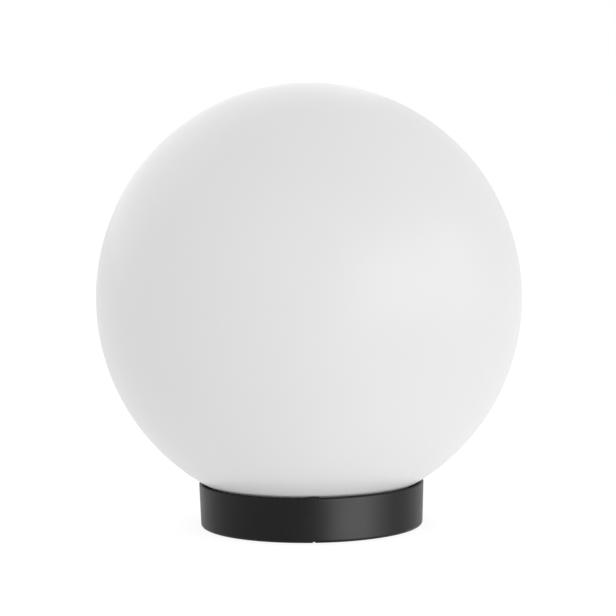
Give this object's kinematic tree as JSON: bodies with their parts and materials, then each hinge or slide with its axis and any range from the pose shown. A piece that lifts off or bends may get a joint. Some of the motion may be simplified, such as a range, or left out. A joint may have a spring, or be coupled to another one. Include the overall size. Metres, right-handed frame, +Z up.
{
  "type": "garden globe light",
  "caption": "Globe light: an opal sphere whose neck turns into a shallow round base, over a screw lampholder with its lamp.",
  "frame": {"origin": "centre of the round face that the light stands on, at floor level", "axes": "+Z up through the base and the globe, front at -Y (the rim's tab), +X to the viewer's right"},
  "size_m": [0.25, 0.25, 0.2605],
  "materials": {
    "base_black": "satin black moulded",
    "opal": "satin opal, translucent",
    "seal_rubber": "matt moulded",
    "foam": "closed-cell foam",
    "zinc_steel": "zinc plated",
    "holder_white": "white moulded",
    "contact_brass": "plain",
    "cap_nickel": "bright",
    "insulator_black": "glossy",
    "lamp_white": "smooth",
    "lamp_opal": "frosted, translucent",
    "board_white": "solder mask",
    "block_clear": "natural polyamide",
    "lead_brown": "silicone insulation",
    "lead_blue": "silicone insulation"
  },
  "bodies": {
    "base": {"base_dish": "base_black", "mounting_seal": "foam", "cable_grommet": "seal_rubber", "holder_bracket": "zinc_steel", "bracket_screws": "zinc_steel", "holder_nipple": "zinc_steel", "nipple_nut": "zinc_steel", "holder_cap": "holder_white", "holder_insert": "holder_white", "holder_shell": "holder_white", "thread_sleeve": "contact_brass", "centre_contact": "contact_brass", "side_contact": "contact_brass", "terminal_block": "block_clear", "terminal_barrels": "contact_brass", "terminal_screws": "zinc_steel", "block_screw": "zinc_steel", "live_lead": "lead_brown", "neutral_lead": "lead_blue"},
    "globe_carrier": {"neck_seal": "seal_rubber"},
    "globe": {"globe": "opal"},
    "lamp_carrier": {"lamp_tip": "contact_brass"},
    "lamp": {"lamp_insulator": "insulator_black", "lamp_screw_shell": "cap_nickel", "lamp_body": "lamp_white", "lamp_dome": "lamp_opal", "led_board": "board_white"}
  },
  "joints": [
    {"name": "globe_rise", "type": "slide", "parent": "base", "child": "globe_carrier", "axis": [0, 0, 1], "range_m": [0, 0.003]},
    {"name": "globe_turn", "type": "hinge", "parent": "globe_carrier", "child": "globe", "pos_m": [0, 0, 0.012], "axis": [0, 0, 1], "range_deg": [0, 90]},
    {"name": "lamp_rise", "type": "slide", "parent": "base", "child": "lamp_carrier", "axis": [0, 0, 1], "range_m": [0, 0.01455]},
    {"name": "lamp_turn", "type": "hinge", "parent": "lamp_carrier", "child": "lamp", "pos_m": [0, 0, 0.06], "axis": [0, 0, 1], "range_deg": [0, 1440]}
  ],
  "couplings": [
    {"joint": "globe_rise", "follows": "globe_turn", "m_per_rad": 0.0019099},
    {"joint": "lamp_rise", "follows": "lamp_turn", "m_per_rad": 0.0005775}
  ]
}
